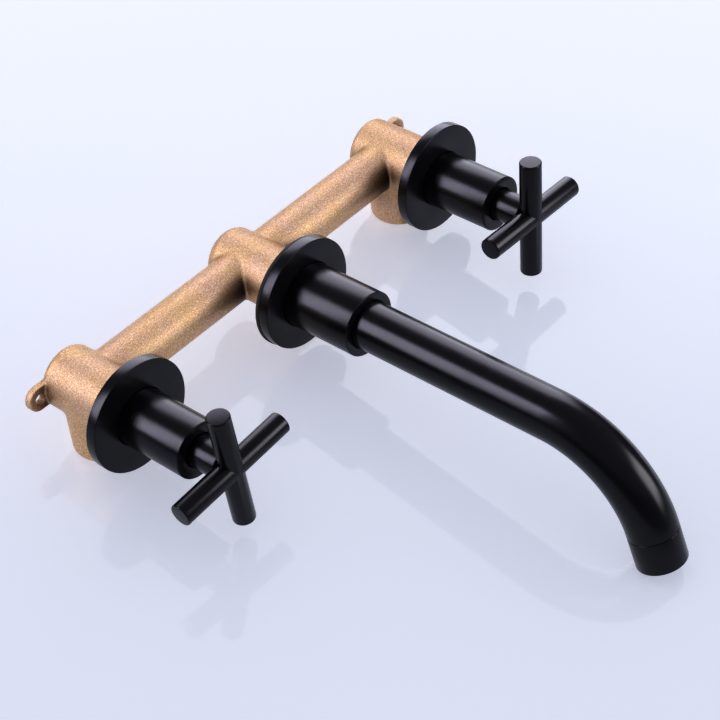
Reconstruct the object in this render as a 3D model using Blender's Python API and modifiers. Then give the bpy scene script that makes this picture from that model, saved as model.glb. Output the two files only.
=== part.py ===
"""Concealed three-hole wall faucet: brass rough-in body, two quarter-turn cross handles and a bent spout.

Metres. +X runs along the rough-in body from the hot side to the cold side, -Y points out of the wall
along the spout, and +Z is up. The origin is on the spout's axis, in the plane of the finished wall.
"""
import bmesh
import bpy
from math import atan2, cos, pi, radians, sin
from mathutils import Matrix, Vector

# ---------------------------------------------------------------- driving dimensions
GAP = 0.0003                 # clearance left between pieces that touch
VALVE_X = 0.100              # spout axis to each valve axis

# brass rough-in body
BOSS_R = 0.0146              # end bosses, around the valve axes
BOSS_FRONT_Y = 0.0010
BOSS_BACK_Y = 0.0410
BOSS_EDGE_R = 0.0030         # rounded back edge of an end boss
MID_BOSS_R = 0.0143
MID_BOSS_FRONT_Y = -0.0020
MID_BOSS_EDGE_R = 0.0055
TUBE_R = 0.0111              # cross tube that joins the three bosses
TUBE_Y = 0.0257
LEG_R = 0.0145               # inlet legs
LEG_Y = 0.0225
LEG_BOTTOM_Z = -0.0295
LEG_EDGE_R = 0.0015
INLET_THREAD_R = 0.0100      # G1/2 female, drawn as a plain bore
INLET_THREAD_DEPTH = 0.0120
EAR_X = 0.0179               # valve axis to screw hole
EAR_R = 0.0058
EAR_HOLE_R = 0.00275
EAR_FRONT_Y = 0.0375
EAR_BACK_Y = 0.0412          # the ears stand just proud of the bosses, and bear on the wall
VALVE_BORE_R = 0.0106        # G1/2 thread for the headwork, plain
SEAT_Y = 0.0183
PASSAGE_R = 0.0045           # inlet passage behind the seat
PASSAGE_Y = 0.0240
LINK_R = 0.0030              # slanted port from each valve into the cross tube
LINK_X = (0.0070, 0.0150)    # its two ends, from the valve axis inwards
LINK_Y = 0.0130
GALLERY_R = 0.0065           # mixed-water passage in the cross tube
GALLERY_END_X = 0.0135       # from the valve axis inwards
PAST = 0.0010                # how far a cutter reaches past the face it opens

# escutcheons
PLATE_R = 0.0262
PLATE_T = 0.0050
PLATE_SKIN = 0.0018          # front wall and rim wall of the hollow plate
PLATE_EDGE = 0.0004          # broken front edge of the plates and sleeves
MID_PLATE_BACK_Y = -0.0045   # the middle plate stands this far off the wall plane
RING_R = 0.0007              # section radius of the rubber ring inside each plate
GASKET_T = 0.0020
GASKET_R = 0.0260
GASKET_SLACK = 0.0012        # around the sleeve
GASKET_HANG = (-0.0003, -0.0007)

# valve sleeves and spout sleeve
SLEEVE_R = 0.0132
SLEEVE_WALL = 0.0014
SLEEVE_FRONT_Y = -0.0395
SLEEVE_LIP = 0.0025
MID_SLEEVE_R = 0.0152
MID_SLEEVE_WALL = 0.0016
MID_SLEEVE_FRONT_Y = -0.0452
MID_SLEEVE_LIP = 0.0080

# cross handles
HUB_R = 0.0075
HUB_BACK_Y = -0.0335
HUB_FRONT_Y = -0.0540
SOCKET_R = 0.00425
SOCKET_END_Y = -0.0485
ROD_R = 0.0051
ARM_LENGTH = 0.0304          # valve axis to the end of an arm
CROSS_Y = -0.0572
ROD_CHAMFER = 0.0005
HANDLE_SET = {"hot": radians(-4.6), "cold": radians(1.9)}   # how each cross sits when its valve is shut
GRUB_Y = -0.0460
GRUB_R = 0.0019
KEY_R = 0.0010               # hexagon socket of the set screws
KEY_DEPTH = 0.0016

# ceramic headwork
THREAD_R = 0.0103            # outside thread of the headwork and of the spout's nipple, plain
NECK_R = 0.0091
NECK_END_Y = -0.0270
COLLAR_Y = (-0.0220, -0.0120)   # the sleeve's inner collar on the neck
FLANGE_R = 0.0114            # bears on the boss
FLANGE_Y = -0.0014
HEX_Y = (-0.0080, -0.0012)
HEX_FLATS = 0.0190
CAGE_R = 0.0092              # around the discs
CAGE_Y = (0.0065, 0.0174)
DISC_ROOM_Y = 0.0085
STEM_SHOULDER_Y = -0.0080
STEM_R = 0.0040
STEM_SEAL_R = 0.0052
STEM_END_Y = -0.0475
STEM_PLAIN_END_Y = -0.0302
STEM_GROOVE_R = 0.0040
STEM_GROOVE_HALF = 0.0008
STEM_RING_Y = (-0.0040, 0.0020)
DRIVE_R = 0.0076             # flange that turns the disc
DRIVE_Y = (0.0088, 0.0108)
CLIP_GROOVE_R = 0.0033
CLIP_GROOVE_Y = (-0.0289, -0.0276)
CLIP_Y = (-0.0286, -0.0279)
CLIP_R = (0.0036, 0.0060)
SPLINE_TEETH = 20
SPLINE_R = 0.0039
SPLINE_DEPTH = 0.0004
SPLINE_LENGTH = 0.0178       # the last 0.3 mm or so of it lies inside the plain shaft
DISC_R = 0.0080
FIXED_DISC_Y = (0.0136, 0.0160)
MOVING_DISC_Y = (0.0111, 0.0133)
PORT_R = 0.0022
PORT_OFFSET = 0.0042
SEAT_SEAL_R = (0.0048, 0.0079)
SEAT_SEAL_Y = (0.0163, 0.0180)

# spout
SPOUT_R = 0.0112
SPOUT_BORE_R = 0.0097
SPOUT_BACK_Y = -0.0135
BEND_START_Y = -0.1432
BEND_RADIUS = 0.0526
BEND_ANGLE = radians(71.6)
NIPPLE_BORE_R = 0.0060
NIPPLE_Y = (-0.0330, 0.0120)
NIPPLE_FLANGE_R = 0.0122
NIPPLE_FLANGE_Y = -0.0045
NIPPLE_HEX_Y = (-0.0115, -0.0040)
NIPPLE_HEX_FLATS = 0.0210
SPIGOT_R = 0.0088
SPIGOT_GROOVE_R = 0.0076
SPIGOT_GROOVE_HALF = 0.0012
SPIGOT_RING_Y = (-0.0280, -0.0220)

# aerator, measured along its own axis from the end of the bend
AERATOR_LENGTH = 0.0158
AERATOR_MOUTH_R = 0.0082
AERATOR_LEDGE_R = 0.0070
AERATOR_LEDGE_Y = (-0.0120, -0.0100)
AERATOR_BORE_R = 0.0080
AERATOR_THREAD_R = 0.0094
AERATOR_THREAD_END_Y = 0.0050
INSERT_R = 0.0077
INSERT_Y = (-0.0097, 0.0010)
JETS = 6
JET_R = 0.0016
JET_RING_R = 0.0046
WASHER_R = (0.0050, 0.0077)
WASHER_Y = (0.0013, 0.0030)

SEGMENTS = 24                # around the body's bosses and the turned parts
PLATE_SEGMENTS = 28
SMALL_SEGMENTS = 16

SIDES = {"hot": -VALVE_X, "cold": VALVE_X}


# ---------------------------------------------------------------- scene, collections and materials
for old in list(bpy.data.objects):
    bpy.data.objects.remove(old, do_unlink=True)

parts = bpy.data.collections.new("wall_faucet")     # finished pieces
cutters = bpy.data.collections.new("cutters")       # blanks and tools, until they are finished or used up
for collection in (parts, cutters):
    bpy.context.scene.collection.children.link(collection)


def principled(name, colour, roughness, metallic):
    mat = bpy.data.materials.new(name)
    mat.use_nodes = True
    shader = mat.node_tree.nodes["Principled BSDF"]
    shader.inputs["Base Color"].default_value = (*colour, 1.0)
    shader.inputs["Roughness"].default_value = roughness
    shader.inputs["Metallic"].default_value = metallic
    mat.diffuse_color = (*colour, 1.0)
    return mat


CAST_BRASS = ((0.58, 0.37, 0.17), 0.45, 1.0)
TURNED_BRASS = ((0.70, 0.52, 0.22), 0.28, 1.0)
BLACK_FINISH = ((0.012, 0.012, 0.016), 0.36, 0.0)
RUBBER = ((0.02, 0.02, 0.02), 0.75, 0.0)
CERAMIC = ((0.86, 0.85, 0.80), 0.22, 0.0)
STEEL = ((0.60, 0.60, 0.62), 0.25, 1.0)
PLASTIC = ((0.74, 0.75, 0.76), 0.45, 0.0)


def finish_piece(obj, finish):
    """Give a finished piece its own material and file it with the parts."""
    obj.data.materials.clear()
    obj.data.materials.append(principled(obj.name, *finish))
    cutters.objects.unlink(obj)
    parts.objects.link(obj)


# ---------------------------------------------------------------- modelling helpers
def add_object(name, data):
    obj = bpy.data.objects.new(name, data)
    cutters.objects.link(obj)
    return obj


def smooth(mesh, angle=35):
    mesh.shade_smooth()
    mesh.set_sharp_from_angle(angle=radians(angle))


def as_mesh(obj):
    """Replace an object that has modifiers, or a curve, by the closed mesh it shows."""
    bpy.context.view_layer.update()
    depsgraph = bpy.context.evaluated_depsgraph_get()
    mesh = bpy.data.meshes.new_from_object(obj.evaluated_get(depsgraph))
    bm = bmesh.new()
    bm.from_mesh(mesh)
    bmesh.ops.remove_doubles(bm, verts=bm.verts, dist=1e-6)
    bmesh.ops.recalc_face_normals(bm, faces=bm.faces)
    bm.to_mesh(mesh)
    bm.free()
    name, matrix = obj.name, obj.matrix_world.copy()
    bpy.data.objects.remove(obj, do_unlink=True)
    solid = add_object(name, mesh)
    solid.matrix_world = matrix
    return solid


def turned(name, profile, segments=SEGMENTS, place=None):
    """Turn a closed profile of (radius, y) points around the Y axis, then move it by place."""
    mesh = bpy.data.meshes.new(name)
    points = [(radius, y, 0.0) for radius, y in profile]
    edges = [(i, (i + 1) % len(points)) for i in range(len(points))]
    mesh.from_pydata(points, edges, [])
    obj = add_object(name, mesh)
    screw = obj.modifiers.new("turn", "SCREW")
    screw.axis = "Y"
    screw.steps = segments
    screw.render_steps = segments
    screw.use_merge_vertices = True
    screw.merge_threshold = 1e-5
    solid = as_mesh(obj)
    solid.matrix_world = place or Matrix.Identity(4)
    smooth(solid.data)
    return solid


def rod(name, radius, start, end, segments=SMALL_SEGMENTS, chamfer=0.0):
    """A plain cylinder from start to end, with chamfered ends if asked."""
    start, end = Vector(start), Vector(end)
    mesh = bpy.data.meshes.new(name)
    bm = bmesh.new()
    bmesh.ops.create_cone(bm, cap_ends=True, segments=segments, radius1=radius, radius2=radius,
                          depth=(end - start).length)
    bm.to_mesh(mesh)
    bm.free()
    obj = add_object(name, mesh)
    turn = (end - start).to_track_quat("Z", "Y").to_matrix().to_4x4()
    obj.matrix_world = Matrix.Translation((start + end) / 2) @ turn
    if chamfer:
        bevel = obj.modifiers.new("chamfer", "BEVEL")
        bevel.width = chamfer
        bevel.segments = 1
        bevel.limit_method = "ANGLE"
        bevel.angle_limit = radians(60)
        obj = as_mesh(obj)
    smooth(obj.data)
    return obj


def block(name, low, high):
    low, high = Vector(low), Vector(high)
    mesh = bpy.data.meshes.new(name)
    bm = bmesh.new()
    bmesh.ops.create_cube(bm, size=1.0)
    bmesh.ops.scale(bm, vec=high - low, verts=bm.verts)
    bmesh.ops.translate(bm, vec=(low + high) / 2, verts=bm.verts)
    bm.to_mesh(mesh)
    bm.free()
    return add_object(name, mesh)


def extruded(name, outline, front_y, back_y):
    """A flat (x, z) outline given a thickness along Y."""
    curve = bpy.data.curves.new(name, "CURVE")
    curve.dimensions = "2D"
    curve.fill_mode = "BOTH"
    curve.extrude = (back_y - front_y) / 2
    spline = curve.splines.new("POLY")
    spline.points.add(len(outline) - 1)
    for point, (x, z) in zip(spline.points, outline):
        point.co = (x, z, 0.0, 1.0)
    spline.use_cyclic_u = True
    obj = add_object(name, curve)
    obj.matrix_world = Matrix.Translation((0, (front_y + back_y) / 2, 0)) @ Matrix.Rotation(pi / 2, 4, "X")
    return as_mesh(obj)


def combine(obj, tool, operation):
    """Join or cut obj with tool, and keep only the result."""
    boolean = obj.modifiers.new(operation.lower(), "BOOLEAN")
    boolean.operation = operation
    boolean.solver = "EXACT"
    boolean.object = tool
    solid = as_mesh(obj)
    bpy.data.objects.remove(tool, do_unlink=True)
    smooth(solid.data)
    return solid


def join(obj, *tools):
    for tool in tools:
        obj = combine(obj, tool, "UNION")
    return obj


def cut(obj, *tools):
    for tool in tools:
        obj = combine(obj, tool, "DIFFERENCE")
    return obj


def rubber_ring(name, centre, ring_radius, section_radius):
    """An O-ring around the Y axis through centre."""
    bpy.ops.mesh.primitive_torus_add(major_segments=16, minor_segments=6, major_radius=ring_radius,
                                     minor_radius=section_radius, rotation=(pi / 2, 0, 0))
    obj = bpy.context.object
    obj.name = name
    for holder in list(obj.users_collection):
        holder.objects.unlink(obj)
    cutters.objects.link(obj)
    obj.location = centre
    smooth(obj.data, 80)
    finish_piece(obj, RUBBER)
    return obj


def at(x):
    return Matrix.Translation((x, 0.0, 0.0))


def arc(centre_r, centre_y, radius, start, end, steps=4):
    """Profile points on an arc; angles in degrees, 0 pointing outwards and 90 towards +Y."""
    return [(centre_r + radius * cos(radians(start + (end - start) * i / steps)),
             centre_y + radius * sin(radians(start + (end - start) * i / steps)))
            for i in range(steps + 1)]


def ring_profile(inner, outer, front_y, back_y, edge=0.0):
    """Closed outline of a plain ring, with its outer front edge broken by edge."""
    front = [(outer - edge, front_y), (outer, front_y + edge)] if edge else [(outer, front_y)]
    return [(inner, front_y), *front, (outer, back_y), (inner, back_y)]


def plug_profile(radius, front_y, back_y):
    """Closed outline of a plain round plug."""
    return [(0, front_y), (radius, front_y), (radius, back_y), (0, back_y)]


def groove_points(shaft, bottom, centre_y, half):
    """Profile points of a seal groove in a shaft, from its front edge to its back edge."""
    return [(shaft, centre_y - half), (bottom, centre_y - half), (bottom, centre_y + half),
            (shaft, centre_y + half)]


# ---------------------------------------------------------------- brass rough-in body
def boss_outline(radius, front_y, back_y, edge):
    return [(0.0, front_y), (radius, front_y), *arc(radius - edge, back_y - edge, edge, 0, 90),
            (0.0, back_y)]


def make_valve_body():
    body = rod("valve_body", TUBE_R, (-VALVE_X, TUBE_Y, 0), (VALVE_X, TUBE_Y, 0), SEGMENTS)
    body = join(body, turned("mid_boss", boss_outline(MID_BOSS_R, MID_BOSS_FRONT_Y, BOSS_BACK_Y,
                                                      MID_BOSS_EDGE_R)))
    end_outline = boss_outline(BOSS_R, BOSS_FRONT_Y, BOSS_BACK_Y, BOSS_EDGE_R)
    for x in SIDES.values():
        out = 1 if x > 0 else -1
        boss = turned("end_boss", end_outline, place=at(x))
        stand = Matrix.Translation((x, LEG_Y, 0)) @ Matrix.Rotation(-pi / 2, 4, "X")
        leg = turned("leg", boss_outline(LEG_R, 0.0, -LEG_BOTTOM_Z, LEG_EDGE_R), place=stand)
        hole_x = x + out * EAR_X
        rounded = [(hole_x + out * EAR_R * cos(turn), EAR_R * sin(turn))
                   for turn in (pi * (i / 12 - 0.5) for i in range(13))]
        ear = extruded("ear", [(x, -EAR_R), *rounded, (x, EAR_R)], EAR_FRONT_Y, EAR_BACK_Y)
        body = join(body, boss, leg, ear)
    for x in SIDES.values():
        out = 1 if x > 0 else -1
        hole_x = x + out * EAR_X
        link_start, link_end = (x - out * reach for reach in LINK_X)
        body = cut(
            body,
            rod("ear_hole", EAR_HOLE_R, (hole_x, EAR_FRONT_Y - PAST, 0), (hole_x, EAR_BACK_Y + PAST, 0)),
            rod("valve_bore", VALVE_BORE_R, (x, BOSS_FRONT_Y - PAST, 0), (x, SEAT_Y, 0), SEGMENTS),
            rod("seat_hole", PASSAGE_R, (x, SEAT_Y - PAST, 0), (x, LEG_Y + 0.004, 0)),
            rod("rise", PASSAGE_R, (x, PASSAGE_Y, LEG_BOTTOM_Z + 2 * PAST), (x, PASSAGE_Y, PAST)),
            rod("inlet", INLET_THREAD_R, (x, LEG_Y, LEG_BOTTOM_Z - PAST),
                (x, LEG_Y, LEG_BOTTOM_Z + INLET_THREAD_DEPTH), SEGMENTS),
            rod("link", LINK_R, (link_start, LINK_Y, 0), (link_end, TUBE_Y, 0), 12))
    gallery_end = VALVE_X - GALLERY_END_X
    body = cut(
        body,
        rod("mid_bore", VALVE_BORE_R, (0, MID_BOSS_FRONT_Y - PAST, 0), (0, TUBE_Y, 0), SEGMENTS),
        rod("gallery", GALLERY_R, (-gallery_end, TUBE_Y, 0), (gallery_end, TUBE_Y, 0), 20))
    finish_piece(body, CAST_BRASS)


# ---------------------------------------------------------------- plates, sleeves and gasket
def make_plate(name, ring_name, x, back_y, sleeve_r):
    """A hollow round plate, open at the back, whose inner collar holds a rubber ring on the sleeve."""
    front_y = back_y - PLATE_T
    inner = sleeve_r + GAP
    groove = inner + 2 * RING_R + GAP
    collar = groove + 0.0014
    mid_y = back_y - PLATE_T / 2
    half = RING_R + GAP
    outline = [
        (inner, front_y), (PLATE_R - PLATE_EDGE, front_y), (PLATE_R, front_y + PLATE_EDGE),
        (PLATE_R, back_y), (PLATE_R - PLATE_SKIN, back_y), (PLATE_R - PLATE_SKIN, front_y + PLATE_SKIN),
        (collar, front_y + PLATE_SKIN), (collar, back_y), (inner, back_y),
        (inner, mid_y + half), (groove, mid_y + half), (groove, mid_y - half), (inner, mid_y - half)]
    plate = turned(name, outline, PLATE_SEGMENTS, at(x))
    finish_piece(plate, BLACK_FINISH)
    rubber_ring(ring_name, (x, mid_y, 0), inner + RING_R, RING_R)


def make_sleeve(name, x):
    """A cup-shaped cover screwed on the headwork's neck, with a hole in its front for the hub."""
    wall = SLEEVE_R - SLEEVE_WALL
    collar = NECK_R + GAP
    hole = HUB_R + 2 * GAP
    rear_y = BOSS_FRONT_Y - GAP
    lip_y = SLEEVE_FRONT_Y + SLEEVE_LIP
    outline = [
        (hole, SLEEVE_FRONT_Y), (SLEEVE_R - PLATE_EDGE, SLEEVE_FRONT_Y),
        (SLEEVE_R, SLEEVE_FRONT_Y + PLATE_EDGE), (SLEEVE_R, rear_y), (wall, rear_y),
        (wall, COLLAR_Y[1]), (collar, COLLAR_Y[1]), (collar, COLLAR_Y[0]), (wall, COLLAR_Y[0]),
        (wall, lip_y), (hole, lip_y)]
    finish_piece(turned(name, outline, PLATE_SEGMENTS, at(x)), BLACK_FINISH)


def make_spout_sleeve():
    """The longer cover of the spout's root; its thick lip takes the screw that locks the spout."""
    wall = MID_SLEEVE_R - MID_SLEEVE_WALL
    rear_y = MID_BOSS_FRONT_Y - GAP
    hole = SPOUT_R + GAP
    lip_y = MID_SLEEVE_FRONT_Y + MID_SLEEVE_LIP
    outline = [
        (hole, MID_SLEEVE_FRONT_Y), (MID_SLEEVE_R - PLATE_EDGE, MID_SLEEVE_FRONT_Y),
        (MID_SLEEVE_R, MID_SLEEVE_FRONT_Y + PLATE_EDGE), (MID_SLEEVE_R, rear_y), (wall, rear_y),
        (wall, lip_y), (hole, lip_y)]
    sleeve = turned("spout_sleeve", outline, PLATE_SEGMENTS)
    lock_y = MID_SLEEVE_FRONT_Y + MID_SLEEVE_LIP / 2
    sleeve = cut(sleeve, rod("lock_hole", GRUB_R + GAP, (0, lock_y, -MID_SLEEVE_R - PAST),
                             (0, lock_y, -hole + 2 * PAST)))
    finish_piece(sleeve, BLACK_FINISH)
    make_grub("spout_grub_screw", Matrix.Translation((0, lock_y, 0)), SPOUT_R + GAP, MID_SLEEVE_R - GAP)


def make_gasket():
    """The soft ring behind the middle plate; it hangs slightly low of the plate's centre."""
    front_y = MID_PLATE_BACK_Y + GAP
    outline = ring_profile(MID_SLEEVE_R + GASKET_SLACK, GASKET_R, front_y, front_y + GASKET_T)
    hung = Matrix.Translation((GASKET_HANG[0], 0, GASKET_HANG[1]))
    gasket = turned("spout_wall_gasket", outline, PLATE_SEGMENTS, hung)
    finish_piece(gasket, RUBBER)


# ---------------------------------------------------------------- screws
def make_grub(name, place, near, far):
    """A socket set screw pointing along -Z of place, from radius near to radius far."""
    screw = rod(name, GRUB_R, (0, 0, -near), (0, 0, -far), 12, chamfer=0.0002)
    key = rod("key", KEY_R, (0, 0, -far - PAST), (0, 0, -far + KEY_DEPTH), 6)
    screw = cut(screw, key)
    screw.matrix_world = place @ screw.matrix_world
    finish_piece(screw, STEEL)
    return screw


# ---------------------------------------------------------------- handles
def make_handle(side, x):
    """Two equal rods crossing in one plane, made in one piece with the hub that fits the stem."""
    axis = bpy.data.objects.new(f"{side}_handle_axis", None)
    parts.objects.link(axis)
    axis.location = (x, 0, 0)
    axis.rotation_euler = (0, HANDLE_SET[side], 0)
    bpy.context.view_layer.update()

    handle = rod(f"{side}_handle", ROD_R, (0, CROSS_Y, -ARM_LENGTH), (0, CROSS_Y, ARM_LENGTH), SEGMENTS,
                 ROD_CHAMFER)
    bar = rod("bar", ROD_R, (-ARM_LENGTH, CROSS_Y, 0), (ARM_LENGTH, CROSS_Y, 0), SEGMENTS, ROD_CHAMFER)
    edge = ROD_CHAMFER
    hub = turned("hub", [(0, HUB_FRONT_Y), (HUB_R - edge, HUB_FRONT_Y), (HUB_R, HUB_FRONT_Y + edge),
                         (HUB_R, HUB_BACK_Y - edge), (HUB_R - edge, HUB_BACK_Y), (0, HUB_BACK_Y)])
    handle = join(handle, bar, hub)
    handle = cut(handle,
                 rod("socket", SOCKET_R, (0, HUB_BACK_Y + PAST, 0), (0, SOCKET_END_Y, 0), SEGMENTS),
                 rod("grub_hole", GRUB_R + GAP, (0, GRUB_Y, -SOCKET_R + PAST), (0, GRUB_Y, -HUB_R - PAST)))
    finish_piece(handle, BLACK_FINISH)
    grub = make_grub(f"{side}_handle_grub_screw", Matrix.Translation((0, GRUB_Y, 0)),
                     STEM_R + GAP, HUB_R - GAP)
    for piece in (handle, grub):
        piece.parent = axis


# ---------------------------------------------------------------- ceramic headwork
def hexagon(name, across_flats, front_y, back_y):
    return rod(name, across_flats / 2 / cos(pi / 6), (0, front_y, 0), (0, back_y, 0), 6)


def make_headwork_body(side, x):
    """The brass headwork: a thread in the boss, a hexagon, and the neck that carries the sleeve."""
    disc_bore, seal_bore = DISC_R + GAP, STEM_SEAL_R + 0.0004
    shoulder_y = STEM_SHOULDER_Y - 0.0004
    seat_y = BOSS_FRONT_Y - GAP
    outline = [
        (STEM_R + GAP, NECK_END_Y), (NECK_R - 0.0005, NECK_END_Y), (NECK_R, NECK_END_Y + 0.0005),
        (NECK_R, FLANGE_Y), (FLANGE_R, FLANGE_Y), (FLANGE_R, seat_y), (THREAD_R, seat_y),
        (THREAD_R, CAGE_Y[0]), (CAGE_R, CAGE_Y[0]), (CAGE_R, CAGE_Y[1]), (disc_bore, CAGE_Y[1]),
        (disc_bore, DISC_ROOM_Y), (seal_bore, DISC_ROOM_Y), (seal_bore, shoulder_y),
        (STEM_R + GAP, shoulder_y)]
    body = turned(f"{side}_headwork_body", outline)
    ring = cut(hexagon("hexagon", HEX_FLATS, *HEX_Y),
               rod("clear", NECK_R - 2 * GAP, (0, HEX_Y[0] - PAST, 0), (0, 0, 0), SEGMENTS))
    body = join(body, ring)
    body = cut(body, block("window", (-0.0120, 0.0092, -0.0035), (0.0120, 0.0130, 0.0035)))
    body.matrix_world = at(x)
    finish_piece(body, TURNED_BRASS)


def splined_end(name):
    """The toothed front end of the stem, with shallow teeth just inside the stem's own radius."""
    mesh = bpy.data.meshes.new(name)
    bm = bmesh.new()
    ring = []
    for i in range(2 * SPLINE_TEETH):
        radius = SPLINE_R - (SPLINE_DEPTH if i % 2 else 0.0)
        turn = i * pi / SPLINE_TEETH
        ring.append(bm.verts.new((radius * cos(turn), STEM_END_Y, radius * sin(turn))))
    face = bm.faces.new(ring)
    moved = bmesh.ops.extrude_face_region(bm, geom=[face])
    root = [item for item in moved["geom"] if isinstance(item, bmesh.types.BMVert)]
    bmesh.ops.translate(bm, vec=(0, SPLINE_LENGTH, 0), verts=root)
    bmesh.ops.recalc_face_normals(bm, faces=bm.faces)
    bm.to_mesh(mesh)
    bm.free()
    return add_object(name, mesh)


def make_stem(side, x):
    """The stem: a drive flange with a tongue for the disc, two seal grooves, a clip groove, a spline."""
    clip_front, clip_back = CLIP_GROOVE_Y
    drive_front, drive_back = DRIVE_Y
    outline = [(0, STEM_PLAIN_END_Y), (STEM_R, STEM_PLAIN_END_Y), (STEM_R, clip_front),
               (CLIP_GROOVE_R, clip_front), (CLIP_GROOVE_R, clip_back), (STEM_R, clip_back),
               (STEM_R, STEM_SHOULDER_Y), (STEM_SEAL_R, STEM_SHOULDER_Y)]
    for ring_y in STEM_RING_Y:
        outline += groove_points(STEM_SEAL_R, STEM_GROOVE_R, ring_y, STEM_GROOVE_HALF)
    outline += [(STEM_SEAL_R, drive_front), (DRIVE_R, drive_front), (DRIVE_R, drive_back), (0, drive_back)]
    stem = turned(f"{side}_stem", outline, SMALL_SEGMENTS)
    tongue = block("tongue", (-0.0012, 0.0105, -0.0050), (0.0012, 0.0121, 0.0050))
    stem = join(stem, splined_end("spline"), tongue)
    stem.matrix_world = at(x)
    finish_piece(stem, TURNED_BRASS)
    for number, ring_y in enumerate(STEM_RING_Y, 1):
        rubber_ring(f"{side}_stem_o_ring_{number}", (x, ring_y, 0), 0.0048, 0.0005)


def make_discs(side, x):
    """The fixed and the turning ceramic disc, a quarter turn apart when the valve is shut."""
    fixed = turned(f"{side}_fixed_disc", plug_profile(DISC_R, *FIXED_DISC_Y))
    moving = turned(f"{side}_moving_disc", plug_profile(DISC_R, *MOVING_DISC_Y))
    for sign in (-1, 1):
        offset = sign * PORT_OFFSET
        fixed = cut(fixed, rod("port", PORT_R, (0, 0.0130, offset), (0, 0.0170, offset), 10))
        moving = cut(moving, rod("port", PORT_R, (offset, 0.0100, 0), (offset, 0.0140, 0), 10))
    moving = cut(moving, block("slot", (-0.0015, 0.0100, -0.0053), (0.0015, 0.0124, 0.0053)))
    for disc in (fixed, moving):
        disc.matrix_world = at(x)
        finish_piece(disc, CERAMIC)
    seal = turned(f"{side}_seat_seal", ring_profile(*SEAT_SEAL_R, *SEAT_SEAL_Y), SMALL_SEGMENTS, at(x))
    finish_piece(seal, RUBBER)


def make_clip(side, x):
    """The spring clip in the stem's groove, in front of the neck."""
    clip = turned(f"{side}_stem_clip", ring_profile(*CLIP_R, *CLIP_Y), SMALL_SEGMENTS)
    clip = cut(clip, block("mouth", (-0.0022, -0.0300, 0.0), (0.0022, -0.0260, 0.0080)))
    clip.matrix_world = at(x)
    finish_piece(clip, STEEL)


# ---------------------------------------------------------------- spout
def spout_path(start_y, extra):
    """Points on the spout's centre line from start_y to extra past the end of the bend."""
    points = [Vector((0, start_y, 0)), Vector((0, BEND_START_Y, 0))]
    steps = 12
    for i in range(1, steps + 1):
        turn = BEND_ANGLE * i / steps
        points.append(Vector((0, BEND_START_Y - BEND_RADIUS * sin(turn), -BEND_RADIUS * (1 - cos(turn)))))
    points.append(points[-1] + extra * spout_end_direction())
    return points


def spout_end_direction():
    return Vector((0, -cos(BEND_ANGLE), -sin(BEND_ANGLE)))


def swept(name, points, radius):
    curve = bpy.data.curves.new(name, "CURVE")
    curve.dimensions = "3D"
    curve.bevel_depth = radius
    curve.bevel_resolution = 8
    curve.use_fill_caps = True
    spline = curve.splines.new("POLY")
    spline.points.add(len(points) - 1)
    for point, place in zip(spline.points, points):
        point.co = (*place, 1.0)
    return as_mesh(add_object(name, curve))


def make_spout_tube():
    tube = swept("spout_tube", spout_path(SPOUT_BACK_Y, 0.0004), SPOUT_R)
    bore = swept("bore", spout_path(SPOUT_BACK_Y + 0.002, 0.0024), SPOUT_BORE_R)
    tube = cut(tube, bore)
    finish_piece(tube, BLACK_FINISH)


def make_nipple():
    """The threaded brass nipple that carries the spout, with two seals on its spigot."""
    front_y, back_y = NIPPLE_Y
    edge = 0.0006
    outline = [(NIPPLE_BORE_R, front_y), (SPIGOT_R - edge, front_y), (SPIGOT_R, front_y + edge)]
    for ring_y in SPIGOT_RING_Y:
        outline += groove_points(SPIGOT_R, SPIGOT_GROOVE_R, ring_y, SPIGOT_GROOVE_HALF)
    seat_y = MID_BOSS_FRONT_Y - GAP
    outline += [(SPIGOT_R, NIPPLE_FLANGE_Y), (NIPPLE_FLANGE_R, NIPPLE_FLANGE_Y), (NIPPLE_FLANGE_R, seat_y),
                (THREAD_R, seat_y), (THREAD_R, back_y), (NIPPLE_BORE_R, back_y)]
    nipple = turned("spout_nipple", outline)
    hex_front, hex_back = NIPPLE_HEX_Y
    clear = rod("clear", SPIGOT_R - 2 * GAP, (0, hex_front - PAST, 0), (0, hex_back + PAST, 0), SEGMENTS)
    ring = cut(hexagon("hexagon", NIPPLE_HEX_FLATS, hex_front, hex_back), clear)
    nipple = join(nipple, ring)
    finish_piece(nipple, TURNED_BRASS)
    for number, ring_y in enumerate(SPIGOT_RING_Y, 1):
        rubber_ring(f"spout_o_ring_{number}", (0, ring_y, 0), 0.0087, 0.0007)


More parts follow.
